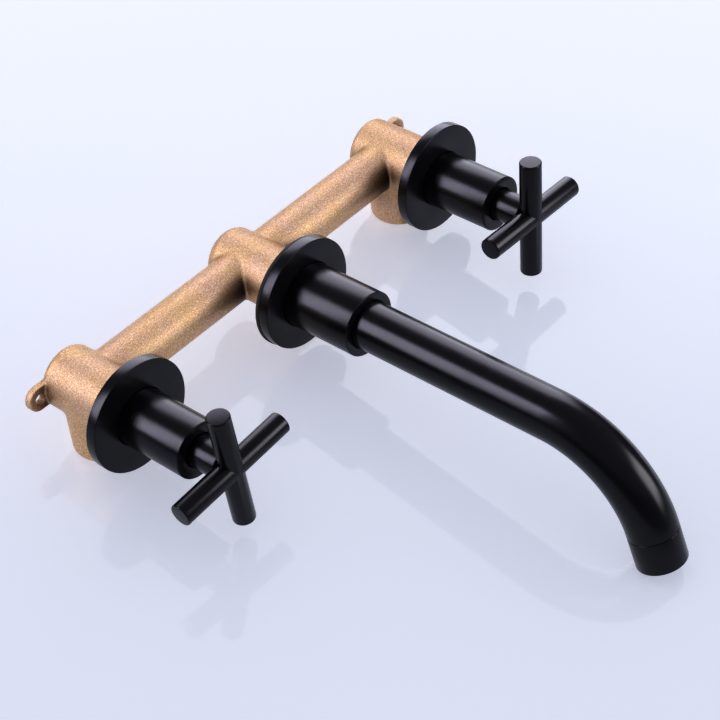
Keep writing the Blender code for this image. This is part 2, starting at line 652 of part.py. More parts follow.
def make_aerator():
    """The screw-in end of the spout: housing, flow insert and washer, in a frame at the bend's end."""
    end = spout_path(SPOUT_BACK_Y, 0.0)[-1]
    direction = spout_end_direction()
    tilt = atan2(direction.z, -direction.y)
    frame = Matrix.Translation(end) @ Matrix.Rotation(-tilt, 4, "X")
    start, tip = -0.0004 - GAP, -AERATOR_LENGTH
    edge = PLATE_EDGE
    ledge_front, ledge_back = AERATOR_LEDGE_Y
    housing = turned("aerator_housing", [
        (AERATOR_MOUTH_R, tip), (SPOUT_R - edge, tip), (SPOUT_R, tip + edge), (SPOUT_R, start - edge),
        (SPOUT_R - edge, start), (AERATOR_THREAD_R, start), (AERATOR_THREAD_R, AERATOR_THREAD_END_Y),
        (AERATOR_BORE_R, AERATOR_THREAD_END_Y), (AERATOR_BORE_R, ledge_back),
        (AERATOR_LEDGE_R, ledge_back), (AERATOR_LEDGE_R, ledge_front), (AERATOR_MOUTH_R, ledge_front)],
        SEGMENTS, frame)
    finish_piece(housing, BLACK_FINISH)
    insert = turned("aerator_insert", plug_profile(INSERT_R, *INSERT_Y), SMALL_SEGMENTS)
    around = [2 * pi * i / JETS for i in range(JETS)]
    for x, z in [*((JET_RING_R * cos(turn), JET_RING_R * sin(turn)) for turn in around), (0, 0)]:
        insert = cut(insert, rod("jet", JET_R, (x, INSERT_Y[0] - PAST, z), (x, INSERT_Y[1] + PAST, z), 10))
    insert.matrix_world = frame
    finish_piece(insert, PLASTIC)
    washer = turned("aerator_washer", ring_profile(*WASHER_R, *WASHER_Y), SMALL_SEGMENTS, frame)
    finish_piece(washer, RUBBER)


# ---------------------------------------------------------------- the whole faucet
make_valve_body()
for side, x in SIDES.items():
    make_plate(f"{side}_escutcheon", f"{side}_escutcheon_o_ring", x, 0.0, SLEEVE_R)
    make_sleeve(f"{side}_sleeve", x)
    make_headwork_body(side, x)
    make_stem(side, x)
    make_discs(side, x)
    make_clip(side, x)
    make_handle(side, x)
make_plate("spout_escutcheon", "spout_escutcheon_o_ring", 0.0, MID_PLATE_BACK_Y, MID_SLEEVE_R)
make_gasket()
make_spout_sleeve()
make_nipple()
make_spout_tube()
make_aerator()
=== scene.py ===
"""Looks of the concealed wall faucet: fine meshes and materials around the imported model.

Metres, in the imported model's own frame: +X from the hot side to the cold side, -Y out of the wall, +Z up.
"""
from math import atan2, cos, pi, radians, sin, tan

import bmesh
import bpy
import numpy as np
from mathutils import Matrix, Vector


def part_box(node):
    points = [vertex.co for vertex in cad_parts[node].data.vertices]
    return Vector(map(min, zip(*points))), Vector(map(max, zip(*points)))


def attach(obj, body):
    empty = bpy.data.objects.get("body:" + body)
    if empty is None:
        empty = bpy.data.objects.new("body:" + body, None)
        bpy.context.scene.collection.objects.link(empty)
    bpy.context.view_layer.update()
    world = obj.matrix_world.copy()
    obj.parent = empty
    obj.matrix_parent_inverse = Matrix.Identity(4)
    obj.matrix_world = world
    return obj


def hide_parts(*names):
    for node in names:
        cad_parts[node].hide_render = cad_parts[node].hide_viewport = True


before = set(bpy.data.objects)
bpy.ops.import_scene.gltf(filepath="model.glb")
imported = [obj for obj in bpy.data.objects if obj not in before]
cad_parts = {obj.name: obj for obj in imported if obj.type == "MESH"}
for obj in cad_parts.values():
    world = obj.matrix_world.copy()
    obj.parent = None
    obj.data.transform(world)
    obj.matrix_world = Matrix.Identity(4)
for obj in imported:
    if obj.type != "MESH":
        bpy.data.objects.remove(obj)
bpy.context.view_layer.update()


# ---------------------------------------------------------------- sizes read from the frame
def centre_of(node):
    low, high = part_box(node)
    return (low + high) / 2


def radius_of(node):
    """Radius of a piece turned about the Y axis."""
    low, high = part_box(node)
    return (high.z - low.z) / 2


def span_y(node):
    """Front and back of a node along Y."""
    low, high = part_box(node)
    return low.y, high.y


SIDES = {side: centre_of(f"{side}_escutcheon").x for side in ("hot", "cold")}
AXIS_X = SIDES["cold"]                          # spout axis to valve axis
BODY_LOW, BODY_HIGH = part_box("valve_body")
SPOUT_R = (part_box("spout_tube")[1].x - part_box("spout_tube")[0].x) / 2
RUNNING_GAP = 0.0003                            # kept between turned pieces that slide in each other

# brass body
BOSS_R = 0.0146
BOSS_FRONT_Y = 0.0010
BOSS_BACK_Y = 0.0410
MID_BOSS_R = 0.0143
TUBE_R = 0.0111
TUBE_Y = 0.0257
LEG_R = 0.0145
LEG_Y = 0.0225
EAR_X = 0.0179                                  # valve axis to screw hole
EAR_R = BODY_HIGH.x - AXIS_X - EAR_X
EAR_HOLE_R = 0.00275
EAR_FRONT_Y = 0.0375
BLANK_FRONT_Y = -0.012                          # the casting before its boss fronts are faced
INLET_R = 0.0100
INLET_DEPTH = 0.0120
PASSAGE_R = 0.0045
VALVE_BORE_R = 0.0106
VALVE_BORE_DEPTH = 0.0170
THREAD_HEIGHT = 0.0008
THREAD_PITCH = 0.00181                          # 14 threads to the inch

# spout
BEND_START_Y = -0.1432
BEND_RADIUS = 0.0526
BEND_ANGLE = radians(71.6)
SPOUT_WALL = 0.0015
SPOUT_END = 0.0003                              # past the end of the bend, as the next three are
AERATOR_START = 0.0006                          # the joint line is between it and SPOUT_END
AERATOR_SHANK_END = -0.0050                     # inside the tube
AERATOR_END = 0.0158
AERATOR_SHANK_R = 0.0094
AERATOR_BORE_R = 0.0080
AERATOR_MOUTH_R = 0.0082
AERATOR_LEDGE_R = 0.0070

# plates and sleeves
PLATE_SKIN = 0.0018
PLATE_COLLAR = 0.0031                           # thickness of the ring around the sleeve
VALVE_SLEEVE_WALL = 0.0014
VALVE_SLEEVE_LIP = 0.0025
VALVE_SLEEVE_HOLE_R = 0.0081
SPOUT_SLEEVE_WALL = 0.0016
SPOUT_SLEEVE_LIP = 0.0080
SCREW_HOLE_R = 0.0022                           # set screws of the spout sleeve and the handles
EDGE_R = 0.0002                                 # broken edge of a turned piece

# cross handles
ARM_R = 0.0051
ARM_EDGE_R = 0.0007
HUB_R = 0.0075
HUB_FRONT_Y = -0.0540
HUB_SOCKET_R = 0.00425
HUB_SOCKET_END_Y = -0.0485

ROUND = 128                                     # segments around the larger turned pieces


# ---------------------------------------------------------------- node helpers for materials
class Nodes:
    """A material and short calls that add linked nodes to it."""

    def __init__(self, name):
        self.mat = bpy.data.materials.new(name)
        self.mat.use_nodes = True
        self.tree = self.mat.node_tree
        self.shader = self.tree.nodes["Principled BSDF"]

    def add(self, kind, inputs=None, **settings):
        node = self.tree.nodes.new(kind)
        for key, value in settings.items():
            setattr(node, key, value)
        for key, value in (inputs or {}).items():
            self.put(node.inputs[key], value)
        return node

    def put(self, socket, value):
        """Link an output to a socket, or set the socket's own value."""
        if isinstance(value, bpy.types.NodeSocket):
            self.tree.links.new(value, socket)
        else:
            socket.default_value = value

    def maths(self, operation, a, b=0.0):
        return self.add("ShaderNodeMath", {0: a, 1: b}, operation=operation).outputs[0]

    def noise(self, vector, scale, detail=2.0, roughness=0.5):
        node = self.add("ShaderNodeTexNoise", {"Vector": vector, "Scale": scale, "Detail": detail,
                                               "Roughness": roughness})
        return node.outputs["Fac"]

    def spread(self, value, low, high, to_low=0.0, to_high=1.0):
        """Map low..high to to_low..to_high, clamped."""
        return self.add("ShaderNodeMapRange", {"Value": value, "From Min": low, "From Max": high,
                                               "To Min": to_low, "To Max": to_high}).outputs["Result"]

    def mix(self, factor, a, b):
        return self.add("ShaderNodeMix", {0: factor, 6: a, 7: b}, data_type="RGBA").outputs[2]

    def bump(self, height, distance, strength=1.0, normal=None):
        inputs = {"Height": height, "Distance": distance, "Strength": strength}
        if normal:
            inputs["Normal"] = normal
        return self.add("ShaderNodeBump", inputs).outputs["Normal"]

    def coordinates(self):
        return self.add("ShaderNodeTexCoord").outputs["Object"]

    def stretched(self, vector, scale):
        return self.add("ShaderNodeMapping", {"Vector": vector, "Scale": scale}).outputs["Vector"]

    def openness(self, reach, **settings):
        """How much of a point's surroundings is free within reach: 1 in the open, 0 in a deep corner."""
        node = self.add("ShaderNodeAmbientOcclusion", {"Distance": reach}, samples=8, **settings)
        return node.outputs["AO"]

    def set(self, **values):
        """Set or link the shader's sockets, named in lower case with underscores."""
        for key, value in values.items():
            self.put(self.shader.inputs[key.replace("_", " ").title().replace("Ior", "IOR")], value)
        return self.mat


def rgb(r, g, b):
    return (r, g, b, 1.0)


def around(m, axis, turn):
    """Coordinates that are constant around an axis of the piece: distance from it, place along it."""
    own = m.add("ShaderNodeMapping", {"Vector": m.coordinates(), "Rotation": turn}, vector_type="TEXTURE")
    split = m.add("ShaderNodeSeparateXYZ", {"Vector": own.outputs["Vector"]})
    along = split.outputs[axis]
    others = [split.outputs[name] for name in "XYZ" if name != axis]
    squares = [m.maths("MULTIPLY", value, value) for value in others]
    distance = m.maths("SQRT", m.maths("ADD", *squares))
    return m.add("ShaderNodeCombineXYZ", {"X": distance, "Y": along}).outputs["Vector"]


# ---------------------------------------------------------------- materials
def cast_brass():
    """Sandblasted cast brass: pinkish to golden, finely grained, with a faintly uneven skin; its bright
    grain flecks are partly painted sparkle glints.

    It has painted shade in its colour: darker in its corners and creases, and near black where it faces the
    back of a plate closely, in the plate's shade.
    """
    m = Nodes("cast_brass")
    place = m.coordinates()
    patches = m.noise(place, 70.0, 3.0)
    grain = m.noise(place, 2100.0, 2.0, 0.6)
    pits = m.noise(place, 1500.0, 2.0, 0.6)
    golden = m.mix(m.spread(patches, 0.40, 0.62), rgb(0.615, 0.405, 0.275), rgb(0.65, 0.42, 0.21))
    pitted = m.mix(m.spread(pits, 0.48, 0.66), golden, rgb(0.46, 0.30, 0.18))
    # Bright grain flecks: partly the cast grain, partly painted sparkle glints.
    grain_with_painted_glints = m.mix(m.spread(grain, 0.48, 0.68), pitted, rgb(0.98, 0.735, 0.49))
    # Painted shade: the colour turns dark brown in corners and creases, where little of the surroundings is
    # open.
    skin = m.mix(m.spread(m.openness(0.014, only_local=True), 0.45, 0.97), rgb(0.17, 0.10, 0.06), grain_with_painted_glints)
    # Painted shade: near-black colour where the brass faces out of the wall close behind a plate, standing
    # for the plate's shade.
    normal = m.add("ShaderNodeSeparateXYZ", {0: m.add("ShaderNodeNewGeometry").outputs["Normal"]})
    painted_plate_shade = m.maths("MULTIPLY", m.spread(normal.outputs["Y"], -0.55, -0.85),
                           m.spread(m.openness(0.028), 0.80, 0.40))
    skin = m.mix(painted_plate_shade, skin, rgb(0.035, 0.020, 0.015))
    swell = m.bump(patches, 0.0008, 0.35)
    dimpled = m.bump(pits, 0.00012, 0.5, swell)
    blasted = m.bump(grain, 0.00006, 0.6, dimpled)
    return m.set(base_color=skin, metallic=0.95, normal=blasted, specular_ior_level=0.30,
                 roughness=m.spread(pits, 0.3, 0.7, 0.46, 0.57))


def turned_brass():
    """Freshly turned brass with fine tool marks around the Y axis."""
    m = Nodes("turned_brass")
    rings = m.noise(m.stretched(m.coordinates(), (300.0, 4000.0, 300.0)), 1.0, 3.0)
    tone = m.mix(rings, rgb(0.74, 0.50, 0.22), rgb(0.86, 0.63, 0.32))
    return m.set(base_color=tone, metallic=1.0, roughness=m.spread(rings, 0.3, 0.7, 0.20, 0.34),
                 normal=m.bump(rings, 0.00005, 0.3))


def satin_black(name, axis, turn=(0, 0, 0), brushed=0.35):
    """Satin black coating over turned metal: near black, with faint tool marks around the piece's axis."""
    m = Nodes(name)
    flow = around(m, axis, turn)
    marks = m.noise(m.stretched(flow, (5200.0, 5200.0, 1.0)), 1.0, 3.0, 0.65)
    lines = m.noise(m.stretched(flow, (1500.0, 1500.0, 2.0)), 1.0, 2.0, 0.6)
    dust = m.noise(m.coordinates(), 2600.0, 2.0)
    cloud = m.noise(m.coordinates(), 90.0, 2.0)
    tint = m.mix(m.spread(marks, 0.35, 0.70), rgb(0.0030, 0.0030, 0.0043), rgb(0.0068, 0.0068, 0.0088))
    rough = m.maths("ADD", m.spread(marks, 0.3, 0.7, 0.19, 0.27),
                    m.spread(cloud, 0.35, 0.65, -0.015, 0.02))
    scored = m.bump(lines, 0.00006, brushed)
    tooled = m.bump(marks, 0.00004, brushed, scored)
    speckled = m.bump(dust, 0.00003, 0.25, tooled)
    return m.set(base_color=tint, roughness=rough, normal=speckled, specular_ior_level=0.27,
                 specular_tint=rgb(0.93, 0.91, 1.0))


def matte_black():
    """Thin overspray on the hidden backs of the plates and inside the sleeves."""
    m = Nodes("matte_black")
    spray = m.noise(m.coordinates(), 900.0, 3.0)
    tone = m.mix(m.spread(spray, 0.4, 0.65), rgb(0.004, 0.004, 0.005), rgb(0.010, 0.010, 0.011))
    return m.set(base_color=tone, roughness=m.spread(spray, 0.3, 0.7, 0.55, 0.75), specular_ior_level=0.08,
                 normal=m.bump(spray, 0.00005, 0.4))


def rubber():
    m = Nodes("rubber")
    grain = m.noise(m.coordinates(), 1500.0, 3.0)
    tone = m.mix(grain, rgb(0.010, 0.010, 0.011), rgb(0.022, 0.022, 0.023))
    return m.set(base_color=tone, roughness=m.spread(grain, 0.3, 0.7, 0.62, 0.80),
                 normal=m.bump(grain, 0.0001, 0.3))


def steel():
    m = Nodes("steel")
    lines = m.noise(m.stretched(m.coordinates(), (400.0, 400.0, 4500.0)), 1.0, 3.0)
    tone = m.mix(lines, rgb(0.50, 0.51, 0.53), rgb(0.68, 0.69, 0.71))
    return m.set(base_color=tone, metallic=1.0, roughness=m.spread(lines, 0.3, 0.7, 0.18, 0.32),
                 normal=m.bump(lines, 0.00004, 0.3))


def ceramic():
    m = Nodes("ceramic")
    cloud = m.noise(m.coordinates(), 500.0, 3.0)
    tone = m.mix(cloud, rgb(0.80, 0.79, 0.74), rgb(0.88, 0.87, 0.83))
    return m.set(base_color=tone, roughness=m.spread(cloud, 0.3, 0.7, 0.14, 0.24))


def plastic():
    m = Nodes("plastic")
    grain = m.noise(m.coordinates(), 900.0, 3.0)
    tone = m.mix(grain, rgb(0.66, 0.67, 0.68), rgb(0.74, 0.75, 0.76))
    return m.set(base_color=tone, roughness=m.spread(grain, 0.3, 0.7, 0.38, 0.50),
                 normal=m.bump(grain, 0.00005, 0.3))


def floor_sheet():
    """Pale, slightly blue acrylic sheet with a soft gloss; its own glow stands for light from all round."""
    m = Nodes("floor_sheet")
    cloud = m.noise(m.coordinates(), 3.0, 2.0)
    tone = m.mix(cloud, rgb(0.78, 0.81, 0.92), rgb(0.81, 0.84, 0.95))
    return m.set(base_color=tone, roughness=0.06, specular_ior_level=0.5,
                 emission_color=rgb(0.94, 0.97, 1.13), emission_strength=0.446)


CAST_BRASS = cast_brass()
TURNED_BRASS = turned_brass()
BLACK = satin_black("satin_black", "Y")
BLACK_TUBE = satin_black("satin_black_tube", "Y", brushed=0.05)
MATTE_BLACK = matte_black()
RUBBER = rubber()
STEEL = steel()
CERAMIC = ceramic()
PLASTIC = plastic()


# ---------------------------------------------------------------- mesh helpers
def new_object(name, mesh, *materials):
    obj = bpy.data.objects.new(name, mesh)
    bpy.context.scene.collection.objects.link(obj)
    for material in materials:
        mesh.materials.append(material)
    return obj


def shade(mesh, angle=32):
    mesh.shade_smooth()
    mesh.set_sharp_from_angle(angle=radians(angle))


def mesh_of(name, verts, faces):
    """A mesh from lists of points and faces, with its faces turned outwards."""
    mesh = bpy.data.meshes.new(name)
    mesh.from_pydata([tuple(v) for v in verts], [], [tuple(f) for f in faces])
    bm = bmesh.new()
    bm.from_mesh(mesh)
    bmesh.ops.recalc_face_normals(bm, faces=bm.faces)
    bm.to_mesh(mesh)
    bm.free()
    return mesh


def rounded(points, radius, steps=4):
    """A closed (r, y) outline with its listed corners rounded: points are (r, y) or (r, y, radius)."""
    out = []
    count = len(points)
    for i, point in enumerate(points):
        corner = Vector(point[:2])
        reach = point[2] if len(point) > 2 else radius
        before, after = Vector(points[i - 1][:2]) - corner, Vector(points[(i + 1) % count][:2]) - corner
        if reach <= 0 or before.length < 1e-9 or after.length < 1e-9:
            out.append(tuple(corner))
            continue
        turn = before.angle(after)
        trim = min(reach / np.tan(turn / 2), 0.45 * before.length, 0.45 * after.length)
        first, last = corner + before.normalized() * trim, corner + after.normalized() * trim
        for step in range(steps + 1):
            t = step / steps
            out.append(tuple((1 - t) ** 2 * first + 2 * t * (1 - t) * corner + t * t * last))
    return out


def lathe(name, outline, segments=ROUND):
    """Turn a closed (r, y) outline around the Y axis. Points on the axis are shared."""
    verts, rings = [], []
    for r, y in outline:
        if r < 1e-7:
            rings.append([len(verts)] * segments)
            verts.append((0.0, y, 0.0))
        else:
            rings.append(list(range(len(verts), len(verts) + segments)))
            verts += [(r * cos(2 * pi * s / segments), y, r * sin(2 * pi * s / segments))
                      for s in range(segments)]
    faces = []
    for i, ring in enumerate(rings):
        nxt = rings[(i + 1) % len(rings)]
        for s in range(segments):
            t = (s + 1) % segments
            corners = dict.fromkeys([ring[s], ring[t], nxt[t], nxt[s]])
            if len(corners) > 2:
                faces.append(tuple(corners))
    return mesh_of(name, verts, faces)


def tube_along(name, path, radius):
    """A closed round bar along points in the YZ plane."""
    verts, faces = [], []
    for i, point in enumerate(path):
        ahead = path[min(i + 1, len(path) - 1)] - path[max(i - 1, 0)]
        side = Vector((0.0, -ahead.z, ahead.y)).normalized()
        for s in range(ROUND):
            turn = 2 * pi * s / ROUND
            verts.append(point + radius * (cos(turn) * Vector((1, 0, 0)) + sin(turn) * side))
    for i in range(len(path) - 1):
        for s in range(ROUND):
            t = (s + 1) % ROUND
            a, b = i * ROUND, (i + 1) * ROUND
            faces.append((a + s, a + t, b + t, b + s))
    faces.append(tuple(range(ROUND)))
    faces.append(tuple((len(path) - 1) * ROUND + s for s in range(ROUND)))
    return mesh_of(name, verts, faces)


def bar(name, radius, start, end):
    """A plain closed cylinder between two points, used as a cutter."""
    start, end = Vector(start), Vector(end)
    mesh = bpy.data.meshes.new(name)
    bm = bmesh.new()
    bmesh.ops.create_cone(bm, cap_ends=True, segments=ROUND // 2, radius1=radius, radius2=radius,
                          depth=(end - start).length)
    turn = (end - start).to_track_quat("Z", "Y").to_matrix().to_4x4()
    bm.transform(Matrix.Translation((start + end) / 2) @ turn)
    bm.to_mesh(mesh)
    bm.free()
    return mesh


def combine(mesh, others, operation):
    """Boolean of a mesh with a list of meshes, applied one after another."""
    base = bpy.data.objects.new("base", mesh)
    bpy.context.scene.collection.objects.link(base)
    tools = []
    for other in others:
        tool = bpy.data.objects.new("tool", other)
        bpy.context.scene.collection.objects.link(tool)
        boolean = base.modifiers.new("boolean", "BOOLEAN")
        boolean.operation = operation
        boolean.solver = "MANIFOLD"
        boolean.object = tool
        tools.append(tool)
    bpy.context.view_layer.update()
    result = bpy.data.meshes.new_from_object(base.evaluated_get(bpy.context.evaluated_depsgraph_get()))
    result.materials.clear()
    for obj in (base, *tools):
        bpy.data.objects.remove(obj, do_unlink=True)
    return result


def place(obj, body, slot, *nodes):
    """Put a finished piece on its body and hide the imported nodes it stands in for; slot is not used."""
    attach(obj, body)
    if nodes:
        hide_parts(*nodes)
    return obj


# ---------------------------------------------------------------- brass body as a distance field
CELL = 0.0007
FILLET = 0.0020
EAR_FILLET = 0.0016
EAR_EDGE_R = 0.0006
MID_BOSS_EDGE_R = 0.0055
BOSS_EDGE_R = 0.0030
LEG_EDGE_R = 0.0012
BACK_EASE = 0.0010                              # where the back plane cuts the bosses and ears
LEG_END_EASE = 0.0040


def rod_field(p, axis, radius, low, high, edge):
    """Distance to a capped cylinder through the origin of p along axis, with rounded ends."""
    others = [i for i in range(3) if i != axis]
    across = np.hypot(p[others[0]], p[others[1]]) - (radius - edge)
    along = np.abs(p[axis] - (low + high) / 2) - ((high - low) / 2 - edge)
    outside = np.hypot(np.maximum(across, 0), np.maximum(along, 0))
    return outside + np.minimum(np.maximum(across, along), 0) - edge


def blend_fields(a, b, reach):
    """Union of two distances with a fillet."""
    near = np.maximum(reach - np.abs(a - b), 0) / reach
    return np.minimum(a, b) - near ** 3 * reach / 6


def body_field(p):
    """Signed distance to the casting at points p, an array of three coordinate arrays."""
    x, y, z = p
    mirrored = np.abs(x)
    tube = np.hypot(y - TUBE_Y, z) - TUBE_R
    tube = np.maximum(tube, mirrored - AXIS_X)
    middle = rod_field((x, y, z), 1, MID_BOSS_R, BLANK_FRONT_Y, BOSS_BACK_Y, MID_BOSS_EDGE_R)
    end = rod_field((mirrored - AXIS_X, y, z), 1, BOSS_R, BLANK_FRONT_Y, BOSS_BACK_Y, BOSS_EDGE_R)
    leg = rod_field((mirrored - AXIS_X, y - LEG_Y, z), 2, LEG_R, BODY_LOW.z - 0.006, 0.002, LEG_EDGE_R)
    reach_x = np.clip(mirrored - AXIS_X, 0, EAR_X)
    flat = np.hypot(mirrored - AXIS_X - reach_x, z) - EAR_R + EAR_EDGE_R
    thick = np.abs(y - (EAR_FRONT_Y + BODY_HIGH.y) / 2) - (BODY_HIGH.y - EAR_FRONT_Y) / 2 + EAR_EDGE_R
    ear = (np.hypot(np.maximum(flat, 0), np.maximum(thick, 0)) + np.minimum(np.maximum(flat, thick), 0)
           - EAR_EDGE_R)
    solid = blend_fields(end, leg, FILLET)
    solid = blend_fields(solid, tube, FILLET)
    solid = blend_fields(solid, middle, FILLET)
    solid = blend_fields(solid, ear, EAR_FILLET)
    solid = -blend_fields(-solid, BODY_HIGH.y - y, BACK_EASE)
    return -blend_fields(-solid, z - BODY_LOW.z, LEG_END_EASE)


def surface_net(field, low, high, cell):
    """Closed quad mesh of the zero level of a field, with its points moved onto the exact surface."""
    axes = [np.arange(a, b, cell) for a, b in zip(low, high)]
    shape = [len(axis) for axis in axes]
    grid = np.meshgrid(*axes, indexing="ij")
    inside = field(grid) < 0
    cells = tuple(n - 1 for n in shape)
    count = np.zeros(cells, np.int8)
    for dx in (0, 1):
        for dy in (0, 1):
            for dz in (0, 1):
                count += inside[dx:dx + cells[0], dy:dy + cells[1], dz:dz + cells[2]]
    crossed = (count > 0) & (count < 8)
    index = -np.ones(cells, np.int64)
    index[crossed] = np.arange(crossed.sum())
    corner = np.argwhere(crossed)
    points = np.stack([axes[i][corner[:, i]] + cell / 2 for i in range(3)])
    for _ in range(12):
        value = field(points)
        slope = np.stack([field(points + step) - field(points - step)
                          for step in np.eye(3)[:, :, None] * cell * 0.2]) / (0.4 * cell)
        points = points - slope * value / np.maximum((slope ** 2).sum(0), 0.05) * 0.8
    faces = []
    for axis in range(3):
        u, v = [i for i in range(3) if i != axis]
        ahead = [slice(None)] * 3
        behind = [slice(None)] * 3
        ahead[axis], behind[axis] = slice(1, None), slice(0, -1)
        change = np.argwhere(inside[tuple(ahead)] != inside[tuple(behind)])
        change = change[(change[:, u] > 0) & (change[:, v] > 0)]
        corners = []
        for du, dv in ((-1, -1), (0, -1), (0, 0), (-1, 0)):
            cell_at = change.copy()
            cell_at[:, u] += du
            cell_at[:, v] += dv
            corners.append(index[tuple(cell_at.T)])
        faces.append(np.stack(corners, 1))
    return points.T, np.concatenate(faces)


def threaded_bore(radius, depth):
    """Outline of a threaded hole's cutter, from its mouth at 0 to its end at depth."""
    outline = [(0.0, -0.002), (radius + 0.0006, -0.002), (radius + 0.0006, 0.0), (radius, 0.0008)]
    y = 0.0010
    while y + THREAD_PITCH < depth - 0.0015:
        outline += [(radius, y), (radius + THREAD_HEIGHT, y + THREAD_PITCH / 2), (radius, y + THREAD_PITCH)]
        y += THREAD_PITCH
    return [*outline, (radius, depth), (0.0, depth)]


def turned_to(mesh, direction, origin):
    """Turn a lathe mesh so that its +Y runs along direction from origin."""
    turn = Vector(direction).to_track_quat("Y", "Z").to_matrix().to_4x4()
    mesh.transform(Matrix.Translation(origin) @ turn)
    return mesh


def is_machined(point):
    """True in the valve bores, on the boss fronts and in the inlet sockets."""
    margin, hair = 0.0010, 1e-5
    from_axis = min(abs(point.x - x) for x in (-AXIS_X, 0.0, AXIS_X))
    in_bore = (np.hypot(from_axis, point.z) < VALVE_BORE_R + margin
               and point.y < BOSS_FRONT_Y + VALVE_BORE_DEPTH + margin / 2)
    on_front = point.y < BOSS_FRONT_Y + hair and abs(point.x) > AXIS_X / 2 or point.y < BODY_LOW.y + hair
    in_inlet = (np.hypot(abs(point.x) - AXIS_X, point.y - LEG_Y) < INLET_R + margin
                and point.z < BODY_LOW.z + INLET_DEPTH + margin)
    return in_bore or on_front or in_inlet


def make_body():
    """The casting with its faced bosses, threaded bores, riser passages and screw holes."""
    margin = 0.004
    low = (BODY_LOW.x - margin, -0.018, BODY_LOW.z - 0.012)
    high = (BODY_HIGH.x + margin, BODY_HIGH.y + margin, BODY_HIGH.z + margin)
    verts, faces = surface_net(body_field, low, high, CELL)
    body = mesh_of("casting", verts, faces)
    cutters = []
    for x in (-AXIS_X, 0.0, AXIS_X):
        front = BOSS_FRONT_Y if x else span_y("valve_body")[0]
        cutters.append(turned_to(lathe("face", [(0, 0), (0.03, 0), (0.03, 0.05), (0, 0.05)], 32),
                                 (0, -1, 0), (x, front, 0)))
        cutters.append(turned_to(lathe("bore", threaded_bore(VALVE_BORE_R, VALVE_BORE_DEPTH)),
                                 (0, 1, 0), (x, front, 0)))
    for x in (-AXIS_X, AXIS_X):
        out = 1 if x > 0 else -1
        cutters.append(turned_to(lathe("inlet", threaded_bore(INLET_R, INLET_DEPTH)),
                                 (0, 0, 1), (x, LEG_Y, BODY_LOW.z)))
        cutters.append(bar("riser", PASSAGE_R, (x, LEG_Y, BODY_LOW.z + INLET_DEPTH - 0.001),
                           (x, LEG_Y, -0.002)))
        cutters.append(bar("ear_hole", EAR_HOLE_R, (x + out * EAR_X, EAR_FRONT_Y - 0.003, 0),
                           (x + out * EAR_X, BODY_HIGH.y + 0.003, 0)))
    body = combine(body, cutters, "DIFFERENCE")
    shade(body, 40)
    for face in body.polygons:
        if is_machined(face.center):
            face.material_index = 1
    obj = new_object("brass_body", body, CAST_BRASS, TURNED_BRASS)
    place(obj, "rough_in", "cast_brass", "valve_body")


# ---------------------------------------------------------------- black plates and sleeves
def matte_inside(mesh, wall, front):
    """Give the faces behind front and inside the radius wall the second material."""
    for face in mesh.polygons:
        if np.hypot(face.center.x, face.center.z) < wall and face.center.y > front:
            face.material_index = 1


def make_plate(name, x):
    front, back = span_y(name)
    outer = radius_of(name)
    sleeve = name.replace("escutcheon", "sleeve")
    inner = radius_of(sleeve) + RUNNING_GAP
    collar = inner + PLATE_COLLAR
    inside, floor = outer - PLATE_SKIN, front + PLATE_SKIN
    mesh = lathe(name, rounded([
        (inner, front), (outer, front, 0.0004), (outer, back), (inside, back), (inside, floor, 0.0005),
        (collar, floor, 0.0005), (collar, back), (inner, back)], EDGE_R))
    shade(mesh)
    matte_inside(mesh, outer - PLATE_SKIN / 2, front + PLATE_SKIN / 2)
    obj = new_object(f"{name}_plate", mesh, BLACK, MATTE_BLACK)
    obj.location.x = x
    place(obj, "rough_in", "black_finish", name)


def make_sleeve(side, x):
    node = f"{side}_sleeve"
    front, back = span_y(node)
    outer = radius_of(node)
    inside, floor = outer - VALVE_SLEEVE_WALL, front + VALVE_SLEEVE_LIP
    mesh = lathe(node, rounded([
        (VALVE_SLEEVE_HOLE_R, front), (outer, front, 0.00035), (outer, back), (inside, back),
        (inside, floor, 0.0004), (VALVE_SLEEVE_HOLE_R, floor)], EDGE_R))
    shade(mesh)
    matte_inside(mesh, outer - VALVE_SLEEVE_WALL / 2, front + VALVE_SLEEVE_LIP / 2)
    obj = new_object(f"{side}_valve_sleeve", mesh, BLACK, MATTE_BLACK)
    obj.location.x = x
    place(obj, "rough_in", "black_finish", node)


def make_spout_sleeve():
    front, back = span_y("spout_sleeve")
    outer = radius_of("spout_sleeve")
    hole = SPOUT_R + RUNNING_GAP
    inside, floor = outer - SPOUT_SLEEVE_WALL, front + SPOUT_SLEEVE_LIP
    mesh = lathe("spout_sleeve", rounded([
        (hole, front, 0.0003), (outer, front, 0.00045), (outer, back), (inside, back),
        (inside, floor, 0.0004), (hole, floor)], EDGE_R))
    lock = centre_of("spout_grub_screw")
    lock_hole = bar("lock", SCREW_HOLE_R, (0, lock.y, -outer - 0.002), (0, lock.y, -hole + 0.001))
    mesh = combine(mesh, [lock_hole], "DIFFERENCE")
    shade(mesh)
    matte_inside(mesh, inside + 0.0004, front + SPOUT_SLEEVE_LIP / 2)
    obj = new_object("spout_root_sleeve", mesh, BLACK, MATTE_BLACK)
    place(obj, "rough_in", "black_finish", "spout_sleeve")


def make_gasket():
    front, back = span_y("spout_wall_gasket")
    outer = radius_of("spout_wall_gasket")
    middle = centre_of("spout_wall_gasket")
    inner = radius_of("spout_sleeve") + 0.0012
    mesh = lathe("gasket", rounded([(inner, front), (outer, front), (outer, back), (inner, back)], 0.0006))
    shade(mesh)
    obj = new_object("gasket_ring", mesh, RUBBER)
    obj.location = (middle.x, 0.0, middle.z)
    place(obj, "rough_in", "rubber_seal", "spout_wall_gasket")


